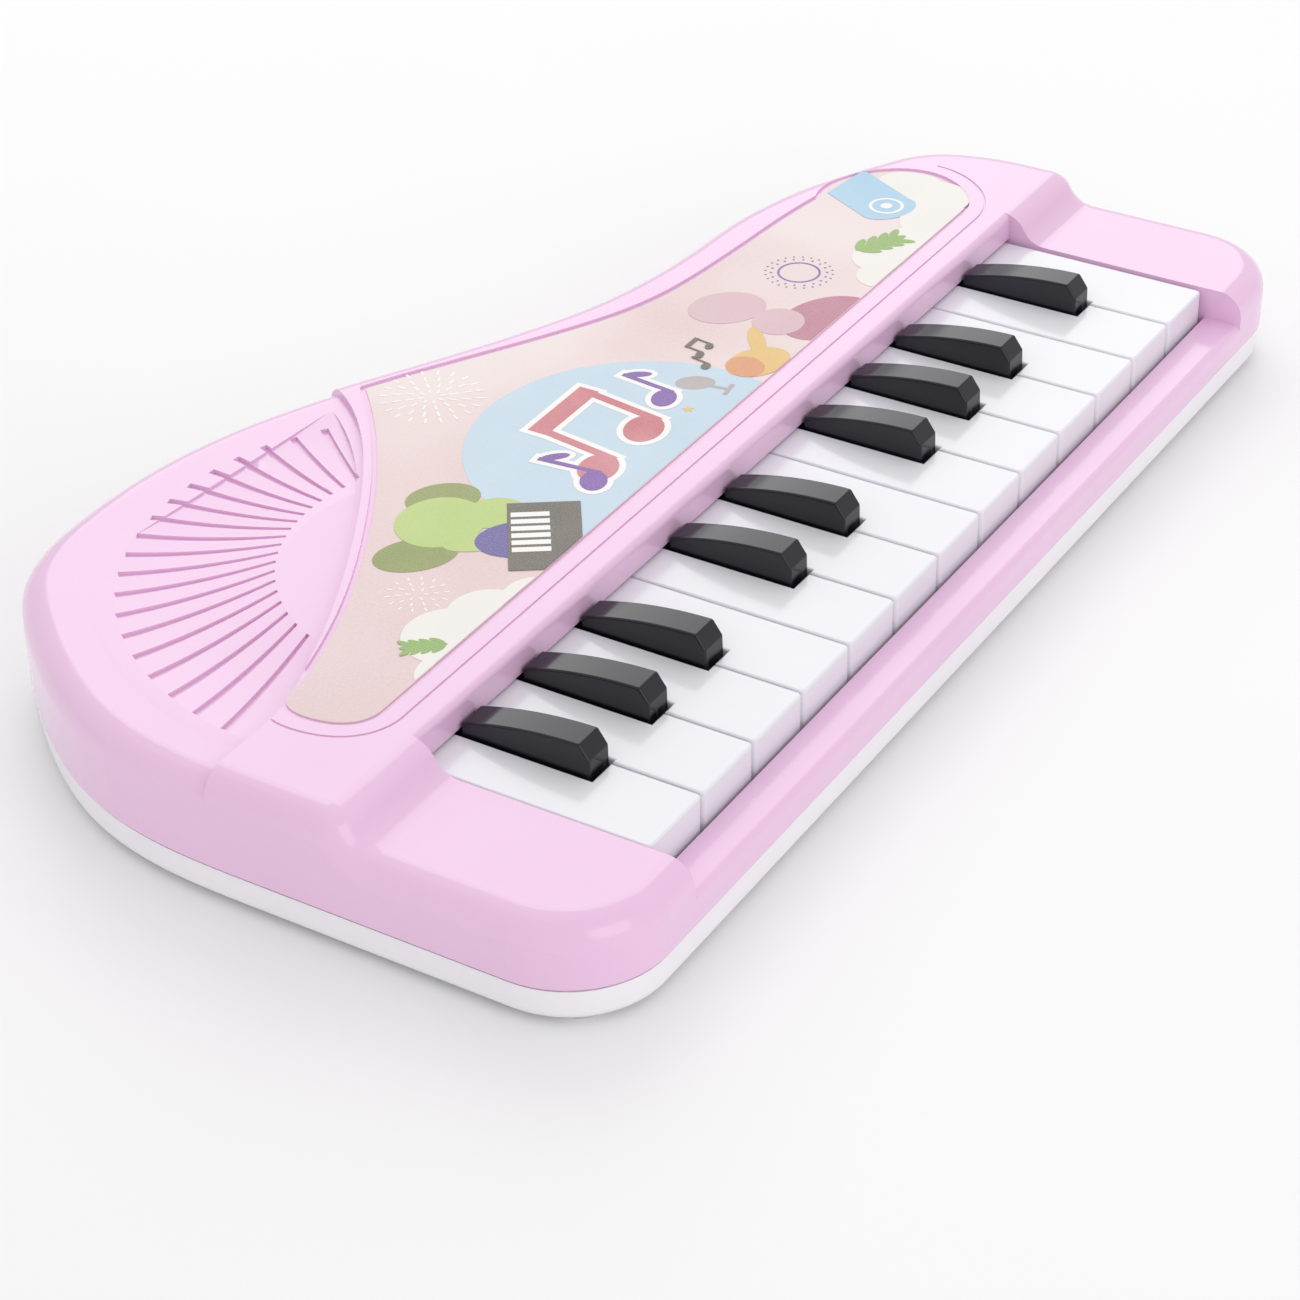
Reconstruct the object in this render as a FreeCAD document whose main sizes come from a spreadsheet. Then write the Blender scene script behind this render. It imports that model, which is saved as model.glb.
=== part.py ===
import FreeCAD, Part
import math
import os
import re
from types import SimpleNamespace

# Toy electronic keyboard: a small grand-piano shaped case with thirteen white
# and nine black keys on one pivot rod, contact board, loudspeaker and three cells.
# Row frame: origin under the middle of the case on the plane of the feet,
# +X along the keys to the right, +Y to the rear, +Z up, all in millimetres.

Vec = FreeCAD.Vector

# ---------------------------------------------------------------- dimensions
# alias, value, meaning
SIZES = [
    ("key_pitch", 20.0, "white key to white key"),
    ("key_gap", 0.6, "between neighbouring keys"),
    ("key_reach", 52.6, "visible length of a white key"),
    ("key_top", 24.0, "top of the white keys"),
    ("key_bottom", 12.5, "underside of the keys at rest"),
    ("key_wall", 1.5, "wall of the hollow keys"),
    ("black_width", 7.3, "black key"),
    ("black_front", 21.4, "black key front behind the white key fronts"),
    ("black_clearance", 0.55, "white key to black key"),
    ("pivot_reach", 60.0, "pivot rod behind the white key fronts"),
    ("pivot_height", 16.5, "axis of the pivot rod"),
    ("pivot_radius", 1.0, "pivot rod"),
    ("pivot_fit", 0.05, "radial clearance of the keys on the rod"),
    ("body_length", 324.8, "case, left to right"),
    ("body_depth", 177.4, "case, front to rear"),
    ("front_margin", 10.4, "case front to the white key fronts"),
    ("corner_radius", 22.0, "front corners in plan"),
    ("edge_radius", 6.0, "rounded upper edge of the case"),
    ("inner_radius", 3.8, "the same edge inside"),
    ("sway_radius", 6.7, "arcs of the step from cheek to deck"),
    ("cheek_top", 24.5, "case beside the keys"),
    ("deck_top", 31.5, "raised deck behind the keys"),
    ("lobe_drop", 1.6, "left rear lobe below the deck"),
    ("lip_top", 16.6, "front rail"),
    ("well_side", 130.6, "half the key opening"),
    ("well_wall", 1.8, "skirts round the key opening"),
    ("well_front", 1.0, "key fronts to the front rail"),
    ("shell_wall", 2.2, "case wall"),
    ("joint_height", 9.4, "parting line between the shells"),
    ("joint_reveal", 0.8, "shadow gap at the parting line"),
    ("base_bottom", 1.6, "underside of the base"),
    ("base_inset", 0.5, "base inside the upper shell"),
    ("base_edge", 2.6, "rounded lower edge of the base"),
    ("base_floor", 2.0, "base thickness"),
    ("tongue_height", 12.0, "top of the base's inner rim"),
    ("foot_radius", 6.0, "rubber feet"),
    ("panel_depth", 0.6, "recess of the printed panel"),
    ("panel_margin", 1.3, "gap round the printed panel"),
    ("panel_sheet", 0.35, "printed panel"),
    ("grille_depth", 0.9, "sunk grille field at its front"),
    ("grille_sag", 0.9, "hollow of the grille field along its slots"),
    ("groove_depth", 0.8, "grille slots"),
    ("field_back", 25.4, "underside of the wall behind the grille"),
    ("rim_width", 3.6, "rim left between the panel seat and the fine line round it"),
    ("rim_line_width", 0.6, "fine line round the panel"),
    ("rim_line_depth", 0.3, "fine line round the panel"),
    ("base_sound_hole", 2.4, "holes under the loudspeaker"),
    ("boss_radius", 3.6, "screw posts"),
    ("screw_radius", 1.3, "case screws"),
    ("speaker_radius", 25.0, "loudspeaker rim"),
    ("cell_radius", 7.1, "AA cell"),
    ("cell_length", 49.2, "AA cell without its cap"),
    ("cell_pitch", 15.2, "cell to cell"),
]
S = SimpleNamespace(**{alias: value for alias, value, note in SIZES})

# places that follow from the sizes, as formulas of the sheet's names
DERIVED = {
    "key_front": "(front_margin - body_depth / 2)",
    "pivot_y": "(front_margin - body_depth / 2 + pivot_reach)",
    "well_back": "(front_margin - body_depth / 2 + key_reach)",
    "floor_top": "(base_bottom + base_floor)",
}
KEY_FRONT = S.front_margin - S.body_depth / 2
PIVOT_Y = KEY_FRONT + S.pivot_reach
WELL_BACK = KEY_FRONT + S.key_reach
WHITE_KEYS = 13
BLACK_SEAMS = {1: -0.153, 2: -0.030, 3: 0.078, 5: -0.135, 6: 0.050,
               8: -0.153, 9: -0.030, 10: 0.078, 12: -0.135}

doc = FreeCAD.newDocument("toy_keyboard")
sheet = doc.addObject("Spreadsheet::Sheet", "Sizes")
for row, (alias, value, note) in enumerate(SIZES, start=1):
    sheet.set(f"A{row}", alias)
    sheet.set(f"B{row}", str(value))
    sheet.setAlias(f"B{row}", alias)
    sheet.set(f"C{row}", note)
doc.recompute()


# ------------------------------------------------------------------- helpers
def formula(text):
    """Spell a formula of sheet names out for setExpression."""
    text = re.sub(r"[a-z_]+", lambda m: DERIVED.get(m.group(), m.group()), str(text))
    return re.sub(r"[a-z_]+", lambda m: f"Sizes.{m.group()}" if hasattr(S, m.group()) else m.group(), text)


def bind(item, path, text):
    item.setExpression(path, formula(text))


def place(item, base):
    for axis, text in zip("xyz", base):
        bind(item, f"Placement.Base.{axis}", text)


def block(name, low, high):
    """A box from its low corner to its high corner, each given as formulas."""
    item = doc.addObject("Part::Box", name)
    place(item, low)
    for prop, start, end in zip(("Length", "Width", "Height"), low, high):
        bind(item, prop, f"({end}) - ({start})")
    return item


def cylinder(name, base, radius, height, axis=Vec(0, 0, 1)):
    """A cylinder that starts at base and runs along axis."""
    item = doc.addObject("Part::Cylinder", name)
    item.Placement.Rotation = FreeCAD.Rotation(Vec(0, 0, 1), axis)
    place(item, base)
    bind(item, "Radius", radius)
    bind(item, "Height", height)
    return item


def cone(name, base, low_radius, high_radius, height):
    item = doc.addObject("Part::Cone", name)
    place(item, base)
    bind(item, "Radius1", low_radius)
    bind(item, "Radius2", high_radius)
    bind(item, "Height", height)
    return item


def fuse(name, *items):
    if len(items) == 1:
        return items[0]
    item = doc.addObject("Part::MultiFuse", name)
    item.Shapes = list(items)
    return item


def together(name, items):
    """Separate solids kept side by side in one piece."""
    item = doc.addObject("Part::Compound", name)
    item.Links = list(items)
    return item


def cut(name, base, *tools):
    item = doc.addObject("Part::Cut", name)
    item.Base = base
    item.Tool = fuse(f"{name}_tools", *tools)
    return item


def common(name, first, second):
    item = doc.addObject("Part::Common", name)
    item.Base = first
    item.Tool = second
    return item


def rounded(name, base, radius, chosen):
    """Fillet every edge of base that chosen(edge) picks."""
    doc.recompute()
    item = doc.addObject("Part::Fillet", name)
    item.Base = base
    item.Edges = [(i, radius, radius) for i, edge in enumerate(base.Shape.Edges, start=1) if chosen(edge)]
    return item


def closed(points):
    """Straight edges through the points and back to the first."""
    return [Part.LineSegment(a, b) for a, b in zip(points, points[1:] + points[:1])]


def drawn(name, curves, placement=None):
    """A sketch that holds the curves."""
    sketch = doc.addObject("Sketcher::SketchObject", name)
    for curve in curves:
        sketch.addGeometry(curve, False)
    if placement is not None:
        sketch.Placement = placement
    return sketch


def raised(name, sketch, height, direction=Vec(0, 0, 1)):
    """Extrude a sketch; height is a formula."""
    item = doc.addObject("Part::Extrusion", name)
    item.Base = sketch
    item.DirMode = "Custom"
    item.Dir = direction
    item.Solid = True
    bind(item, "LengthFwd", height)
    return item


def level(height):
    return FreeCAD.Placement(Vec(0, 0, height), FreeCAD.Rotation())


def widened(name, sketch, distance):
    """The same outline moved outwards, or inwards when distance is negative."""
    item = doc.addObject("Part::Offset2D", name)
    item.Source = sketch
    item.Fill = False
    bind(item, "Value", distance)
    return item


def plan(x, y):
    """A plan point given in white key pitches from the left key's front corner."""
    return Vec((x - WHITE_KEYS / 2) * S.key_pitch, y * S.key_pitch + KEY_FRONT, 0)


def curve_through(points, start=None, end=None):
    spline = Part.BSplineCurve()
    if start is None:
        spline.interpolate(Points=points)
    else:
        spline.interpolate(Points=points, InitialTangent=start, FinalTangent=end)
    return spline


def arc_from(start, tangent, end):
    """The arc that leaves start along tangent and arrives at end."""
    chord = end - start
    along = Vec(chord).normalize()
    aside = tangent - along * tangent.dot(along)
    if aside.Length < 1e-5:
        return Part.LineSegment(start, end)
    half_turn = tangent.getAngle(along)
    rise = aside.normalize() * (chord.Length / 2 * math.tan(half_turn / 2))
    return Part.Arc(start, start + chord * 0.5 + rise, end)


def arcs_through(points, start=None, end=None, per_span=1):
    """A chain of tangent arcs along the curve through the points."""
    spline = curve_through(points, start, end)
    knots = spline.getKnots()
    steps = [low + (high - low) * i / per_span for low, high in zip(knots, knots[1:]) for i in range(per_span)]
    marks = [(spline.value(u), spline.tangent(u)[0]) for u in steps + [knots[-1]]]
    chain = []
    for (p0, t0), (p1, t1) in zip(marks, marks[1:]):
        span = p1 - p0
        spread = 2 * (1 - t0.dot(t1))
        lean = span.dot(t0 + t1)
        if spread < 1e-6:
            reach_out = span.dot(span) / (2 * lean)
        else:
            reach_out = (math.sqrt(lean ** 2 + spread * span.dot(span)) - lean) / spread
        joint = (p0 + t0 * reach_out + p1 - t1 * reach_out) * 0.5
        chain += [arc_from(p0, t0, joint), arc_from(p1, t1 * -1, joint)]
    return chain


PIECES = []


def piece(name, item):
    item.Label = name
    PIECES.append(item)
    return item


# ------------------------------------------------------------- case outlines
HALF_LENGTH = S.body_length / 2
HALF_DEPTH = S.body_depth / 2
SIDEWAYS = FreeCAD.Rotation(Vec(1, 1, 1), 120)

lobe_crest = Vec(plan(2.15, 0).x, HALF_DEPTH, 0)
left_start = Vec(-HALF_LENGTH, plan(0, 3.7).y, 0)
right_end = Vec(HALF_LENGTH, plan(0, 3.1).y, 0)
lobe_points = [left_start, plan(-1.25, 5.95), plan(-0.12, 7.55), lobe_crest]
waist_points = [lobe_crest, plan(4.6, 7.86), plan(6.9, 6.72), plan(9.2, 5.86), plan(12.2, 5.48),
                plan(13.85, 4.75), right_end]


def case_outline():
    radius = S.corner_radius
    low = -HALF_DEPTH
    left_centre = Vec(-HALF_LENGTH + radius, low + radius, 0)
    right_centre = Vec(HALF_LENGTH - radius, low + radius, 0)
    up = Vec(0, 0, 1)
    return [
        Part.LineSegment(Vec(left_centre.x, low, 0), Vec(right_centre.x, low, 0)),
        Part.ArcOfCircle(Part.Circle(right_centre, up, radius), -math.pi / 2, 0),
        Part.LineSegment(Vec(HALF_LENGTH, right_centre.y, 0), right_end),
        *arcs_through(waist_points, Vec(1, 0, 0), Vec(0, -1, 0)),
        *arcs_through(lobe_points, Vec(0, 1, 0), Vec(1, 0, 0), per_span=2),
        Part.LineSegment(left_start, Vec(-HALF_LENGTH, left_centre.y, 0)),
        Part.ArcOfCircle(Part.Circle(left_centre, up, radius), math.pi, 1.5 * math.pi),
    ]


def side_profile(drop):
    """Side view of the top surface: cheek, two tangent arcs, deck."""
    radius = S.sway_radius
    cheek = S.cheek_top - drop
    deck = S.deck_top - drop
    turn = math.acos(1 - (deck - cheek) / (2 * radius))
    top_y = WELL_BACK + 2.0
    low_y = top_y - 2 * radius * math.sin(turn)
    near = -HALF_DEPTH - 20
    far = HALF_DEPTH + 20
    x_axis = Vec(0, 0, 1)
    return [
        Part.LineSegment(Vec(near, -5, 0), Vec(far, -5, 0)),
        Part.LineSegment(Vec(far, -5, 0), Vec(far, deck, 0)),
        Part.LineSegment(Vec(far, deck, 0), Vec(top_y, deck, 0)),
        Part.ArcOfCircle(Part.Circle(Vec(top_y, deck - radius, 0), x_axis, radius),
                         math.pi / 2, math.pi / 2 + turn),
        Part.ArcOfCircle(Part.Circle(Vec(low_y, cheek + radius, 0), x_axis, radius),
                         -math.pi / 2, -math.pi / 2 + turn),
        Part.LineSegment(Vec(low_y, cheek, 0), Vec(near, cheek, 0)),
        Part.LineSegment(Vec(near, cheek, 0), Vec(near, -5, 0)),
    ]


outline = drawn("case_outline", case_outline(), level(S.base_bottom))

# the left rear lobe: everything behind the step line and left of the panel's rim
lobe_corner = plan(-0.45, 4.05)
rim_points = [lobe_corner, plan(0.9, 4.47), plan(2.8, 5.38), plan(4.0, 6.12), plan(5.2, 7.30), plan(5.5, 8.6)]
lobe_zone_curves = [
    curve_through(rim_points),
    Part.LineSegment(plan(5.5, 8.6), plan(5.5, 10)),
    Part.LineSegment(plan(5.5, 10), plan(-4, 10)),
    Part.LineSegment(plan(-4, 10), plan(-4, 4.05)),
    Part.LineSegment(plan(-4, 4.05), lobe_corner),
]
lobe_zone = raised("lobe_zone", drawn("lobe_outline", lobe_zone_curves, level(-10)), "60")


def top_volume(name, inset, drop, radius):
    """Solid under the case's top surface, stepped down over the left rear lobe."""
    base = outline if inset is None else widened(f"{name}_plan", outline, f"-{inset}")
    prism = raised(f"{name}_prism", base, "40")
    sketch = drawn(f"{name}_side", side_profile(drop),
                   FreeCAD.Placement(Vec(-HALF_LENGTH - 20, 0, 0), SIDEWAYS))
    profile = raised(f"{name}_profile", sketch, "body_length + 40", Vec(1, 0, 0))
    block_shape = common(f"{name}_block", prism, profile)
    middle = (S.cheek_top - drop + S.joint_height) / 2

    def upper_edge(edge):
        box = edge.BoundBox
        centre = edge.CenterOfMass
        crosses = box.XLength > 200 and box.YLength < 0.01 and abs(centre.y) < HALF_DEPTH - 5
        seam = box.XLength < 0.01 and box.YLength < 0.01
        return box.ZMin > middle and not crosses and not seam

    smooth = rounded(f"{name}_smooth", block_shape, radius, upper_edge)
    lowered = together(f"{name}_lowered", [smooth])
    bind(lowered, "Placement.Base.z", "-lobe_drop")
    high_part = cut(f"{name}_high", smooth, lobe_zone)
    low_part = common(f"{name}_low", lowered, lobe_zone)
    return fuse(f"{name}_stepped", high_part, low_part)


outer = top_volume("outer", None, 0.0, S.edge_radius)
inner = top_volume("inner", "shell_wall", S.shell_wall, S.inner_radius)


# ----------------------------------------------------------------- top shell
WELL = ("-well_side", "key_front - well_front", "-5"), ("well_side", "well_back", "60")


def panel_outline():
    """The printed panel: straight front, round right end, two sweeping rear edges."""
    front_y = 3.20
    left = [plan(0.17, front_y), plan(-0.12, 3.33), plan(-0.27, 3.70), plan(-0.24, 4.02), plan(0.17, 4.17)]
    rise = [plan(0.17, 4.17), plan(1.6, 4.62), plan(3.1, 5.37), plan(4.1, 6.0), plan(5.4, 7.08)]
    fall = [plan(5.4, 7.08), plan(6.6, 6.42), plan(7.6, 5.86), plan(8.7, 5.37), plan(10.0, 5.14), plan(12.3, 4.93)]
    end = [plan(12.3, 4.93), plan(13.2, 4.72), plan(13.55, 4.05), plan(13.3, 3.47), plan(12.7, front_y)]
    return [*arcs_through(left), *arcs_through(rise), *arcs_through(fall), *arcs_through(end),
            Part.LineSegment(plan(12.7, front_y), plan(0.17, front_y))]


panel_sketch = drawn("panel_outline", panel_outline(), level(S.deck_top - S.panel_depth))

# grille slots run outwards from one centre, between two arcs that aren't concentric
GRILLE_CENTRE = plan(3.06, 5.05)
SLOT_START = (plan(3.147, 3.921), 2.245 * S.key_pitch)
SLOT_END = (plan(2.679, 4.162), 3.436 * S.key_pitch)
SLOT_COUNT = 19
SLOT_WIDTH_INNER = 0.9
SLOT_WIDTH_OUTER = 1.9


def reach(direction, circle):
    """Distance from the grille's centre to a circle, along direction."""
    centre, radius = circle
    offset = GRILLE_CENTRE - centre
    along = offset.dot(direction)
    return -along + math.sqrt(along ** 2 - offset.dot(offset) + radius ** 2)


def slot_outline(degrees):
    direction = Vec(math.cos(math.radians(degrees)), math.sin(math.radians(degrees)), 0)
    across = Vec(-direction.y, direction.x, 0)
    near = GRILLE_CENTRE + direction * reach(direction, SLOT_START)
    far = GRILLE_CENTRE + direction * reach(direction, SLOT_END)
    return closed([near - across * (SLOT_WIDTH_INNER / 2), far - across * (SLOT_WIDTH_OUTER / 2),
                   far + across * (SLOT_WIDTH_OUTER / 2), near + across * (SLOT_WIDTH_INNER / 2)])


def slot_angles():
    degrees = 53.6
    step = 9.0
    for number in range(SLOT_COUNT):
        yield degrees
        degrees += step
        step -= 0.174


slots = []
for number, degrees in enumerate(slot_angles(), start=1):
    sketch = drawn(f"slot_outline_{number}", slot_outline(degrees), level(S.lip_top))
    slots.append(raised(f"slot_{number}", sketch, "deck_top - lip_top"))

# the sunk field round the slots: a shallow ring-shaped channel in a floor that
# is deepest at its front and level with the lobe at its rear
field_points = [plan(-0.98, 3.9), plan(-0.97, 4.6), plan(-0.72, 5.5), plan(-0.34, 6.22), plan(0.25, 6.95),
                plan(1.1, 7.5)]
field_rim = [plan(-0.35, 4.10), plan(0.9, 4.52), plan(2.75, 5.42), plan(3.9, 6.15), plan(4.9, 7.2)]
field_tilt = math.degrees(math.atan(S.grille_depth / (3.2 * S.key_pitch)))
channel_centre = (SLOT_START[0] + SLOT_END[0]) * 0.5
channel_radius = (SLOT_START[1] + SLOT_END[1]) / 2
FIELD_PLACE = FreeCAD.Placement(channel_centre + Vec(0, 0, S.deck_top - S.lobe_drop - S.grille_depth),
                                FreeCAD.Rotation(Vec(1, 0, 0), field_tilt))


def field_outline():
    return [curve_through(field_points), curve_through(field_rim),
            Part.LineSegment(field_points[-1], field_rim[-1]),
            Part.LineSegment(field_rim[0], plan(-0.35, 3.9)),
            Part.LineSegment(plan(-0.35, 3.9), field_points[0])]


CHANNEL_HALF = 17.0
CHANNEL_RISE = 12.0


def channel(name, lowered):
    """A ring of round-bottomed section round the grille, open upwards."""
    inside = channel_radius - CHANNEL_HALF
    outside = channel_radius + CHANNEL_HALF
    curves = [
        Part.Arc(Vec(inside, -lowered, 0), Vec(channel_radius, -S.grille_sag - lowered, 0),
                 Vec(outside, -lowered, 0)),
        Part.LineSegment(Vec(outside, -lowered, 0), Vec(outside, CHANNEL_RISE, 0)),
        Part.LineSegment(Vec(outside, CHANNEL_RISE, 0), Vec(inside, CHANNEL_RISE, 0)),
        Part.LineSegment(Vec(inside, CHANNEL_RISE, 0), Vec(inside, -lowered, 0)),
    ]
    upright = FreeCAD.Placement(Vec(), FreeCAD.Rotation(Vec(1, 0, 0), 90))
    item = doc.addObject("Part::Revolution", name)
    item.Source = drawn(f"{name}_section", curves, upright)
    item.Axis = Vec(0, 0, 1)
    item.Angle = 360
    item.Solid = True
    item.Placement = FIELD_PLACE
    return item


field_sketch = drawn("field_outline", field_outline(), level(S.lip_top))
field_reach = 4 * S.speaker_radius
field_square = closed([Vec(-field_reach, -field_reach, 0), Vec(field_reach, -field_reach, 0),
                       Vec(field_reach, field_reach, 0), Vec(-field_reach, field_reach, 0)])
field_floor = raised("field_floor", drawn("field_square", field_square, FIELD_PLACE), CHANNEL_RISE)
field_zone = common("field_zone", raised("field_prism", field_sketch, "deck_top - lip_top"), lobe_zone)
grille_field = common("grille_field", field_zone,
                      fuse("field_tool", field_floor, channel("field_channel", 0.0)))
grooves = common("grille_grooves", fuse("all_slots", *slots), channel("groove_channel", S.groove_depth))
pad_points = [plan(-1.15, 3.8), plan(-0.2, 3.8), plan(-0.15, 4.0), plan(1.0, 4.35), plan(2.85, 5.25),
              plan(4.05, 5.95), plan(5.1, 7.1), plan(1.1, 7.7), plan(0.1, 7.15), plan(-0.5, 6.35),
              plan(-0.9, 5.55), plan(-1.15, 4.6)]
field_pad = raised("field_pad", drawn("field_pad_outline", closed(pad_points), level(S.field_back)), "6")

# screw posts, in plan
CASE_POSTS = {
    "front_left": plan(-0.95, 1.35), "front_right": plan(13.95, 1.35), "left": plan(-0.95, 3.9),
    "right": plan(13.8, 3.45), "rear_left": plan(2.3, 7.75), "rear_middle": plan(7.2, 5.65),
}
SPEAKER = plan(1.35, 6.05)
SPEAKER_SEAT = 23.6
SPEAKER_SCREWS = [SPEAKER + Vec(28.6 * math.cos(math.radians(a)), 28.6 * math.sin(math.radians(a)), 0)
                  for a in (20, 140, 265)]


def make_top_shell():
    skirt = block("well_skirt", ("-well_side - well_wall", "key_front - well_front - well_wall", "tongue_height"),
                  ("well_side + well_wall", "well_back + well_wall", "60"))
    rail_plate = block("rail_plate", ("-well_side - well_wall", "-body_depth", "lip_top - shell_wall"),
                       ("well_side + well_wall", "key_front - well_front", "60"))
    cavity = cut("case_cavity", inner, skirt, rail_plate)
    posts = []
    for name, spot in CASE_POSTS.items():
        posts.append(cylinder(f"post_{name}", (spot.x, spot.y, "joint_height"), "boss_radius", 40))
    for number, spot in enumerate(SPEAKER_SCREWS, start=1):
        posts.append(cylinder(f"speaker_post_{number}", (spot.x, spot.y, SPEAKER_SEAT - 1.4), 2.8, 40))
    seat = cut("speaker_seat",
               cylinder("seat_outer", (SPEAKER.x, SPEAKER.y, SPEAKER_SEAT), "speaker_radius", 30),
               cylinder("seat_inner", (SPEAKER.x, SPEAKER.y, SPEAKER_SEAT - 1), "speaker_radius - 2", 40))
    posts_inside = common("posts_inside", inner, fuse("posts_and_seat", seat, field_pad, *posts))
    shell = fuse("shell_with_posts", cut("open_shell", outer, cavity), posts_inside)
    well = block("key_well", *WELL)
    tails = block("tail_passage", ("-well_side", "well_back - 1", "-5"),
                  ("well_side", "well_back + well_wall + 1", "key_top + 0.7"))
    rail = block("rail_notch", ("-well_side", "-body_depth", "lip_top"),
                 ("well_side", "key_front", "60"))
    below = block("below_joint", ("-body_length", "-body_depth", "-5"),
                  ("body_length", "body_depth", "joint_height + joint_reveal / 2"))
    recess = raised("panel_recess", widened("panel_recess_plan", panel_sketch, "panel_margin"), "10")
    holes = [cylinder(f"post_hole_{name}", (spot.x, spot.y, 0), "screw_radius + 0.05", 19)
             for name, spot in CASE_POSTS.items()]
    holes += [cylinder(f"speaker_hole_{number}", (spot.x, spot.y, 10), 1.05,
                       "field_back + 0.7 - 10")
              for number, spot in enumerate(SPEAKER_SCREWS, start=1)]
    rim_outside = widened("rim_outside_plan", panel_sketch, "panel_margin + rim_width + rim_line_width")
    rim_inside = widened("rim_inside_plan", panel_sketch, "panel_margin + rim_width")
    rim_line = cut("rim_line", raised("rim_outside", rim_outside, "10"), raised("rim_inside", rim_inside, "10"))
    rim_zone = block("rim_zone", ("-body_length", "-body_depth", "deck_top - rim_line_depth"),
                     ("body_length", plan(0, 4.05).y, "60"))
    shell = cut("cut_shell", shell, well, tails, rail, recess, grille_field, grooves, below,
                common("rim_groove", rim_line, rim_zone), *holes)

    def rail_edge(edge):
        box = edge.BoundBox
        level_edge = box.ZLength < 0.01 and box.YLength < 0.01 and box.XLength > 200
        front = abs(box.ZMin - S.lip_top) < 0.01 and abs(box.YMin + HALF_DEPTH) < 0.01
        rear = box.ZMin > S.deck_top - 1 and abs(box.YMin - WELL_BACK) < 0.01
        return level_edge and (front or rear)

    return piece("top_shell", rounded("rounded_shell", shell, 1.8, rail_edge))


make_top_shell()
piece("graphic_panel", raised("panel_sheet_body", panel_sketch, "panel_sheet"))


# -------------------------------------------------------------- bottom shell
def spot(x, y):
    """A plan point given in millimetres from the left white key's front corner."""
    return plan(x / S.key_pitch, y / S.key_pitch)


# battery bay, inside faces, and the door that closes it from below
BAY_LOW = spot(66.0, 75.0)
BAY_HIGH = spot(122.4, 123.0)
BAY_WALL = 1.6
BAY_ROOF = 19.0
DOOR_GAP = 0.4
DOOR_LOW = 1.8
DOOR_HIGH = 3.4
HINGE_PIN = 0.6
HINGE_Y = BAY_HIGH.y - 1.6
HINGE_Z = (DOOR_LOW + DOOR_HIGH) / 2
BAY_MIDDLE = (BAY_LOW.x + BAY_HIGH.x) / 2
DOOR_SCREW = Vec(BAY_MIDDLE, BAY_LOW.y - 3.5, 0)
TAB_HALF = 4.6
TAB_REACH = 6.6

BOARD_LOW = spot(4, 14)
BOARD_HIGH = spot(256, 50)
BOARD_SHELF = 5.6
BOARD_THICK = 1.6
FRAME_SCREWS = [spot(x, 60) for x in (40, 110, 180, 250)]
BOARD_SCREWS = [spot(x, y) for x in (12, 130, 248) for y in (16.6, 47.4)]
SOUND_LOW = spot(172, 72)
SOUND_HIGH = spot(228, 96)
SOUND_SHELF = 9.6
SOUND_SCREWS = [spot(x, y) for x in (176, 224) for y in (81, 92)]
SWITCH = spot(245, 84)
SWITCH_TRAVEL = 4.0
KNOB_HALF = Vec(1.6, 1.4, 0)
FEET = [spot(-20.5, 3.4), spot(280.5, 3.4), spot(-4, 126), spot(268, 82)]


def sound_holes_in_base():
    """One hole in the middle and two rings of holes under the loudspeaker."""
    yield SPEAKER
    for radius, count in ((6.0, 6), (12.0, 12)):
        for number in range(count):
            turn = 2 * math.pi * number / count
            yield SPEAKER + Vec(radius * math.cos(turn), radius * math.sin(turn), 0)


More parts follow.
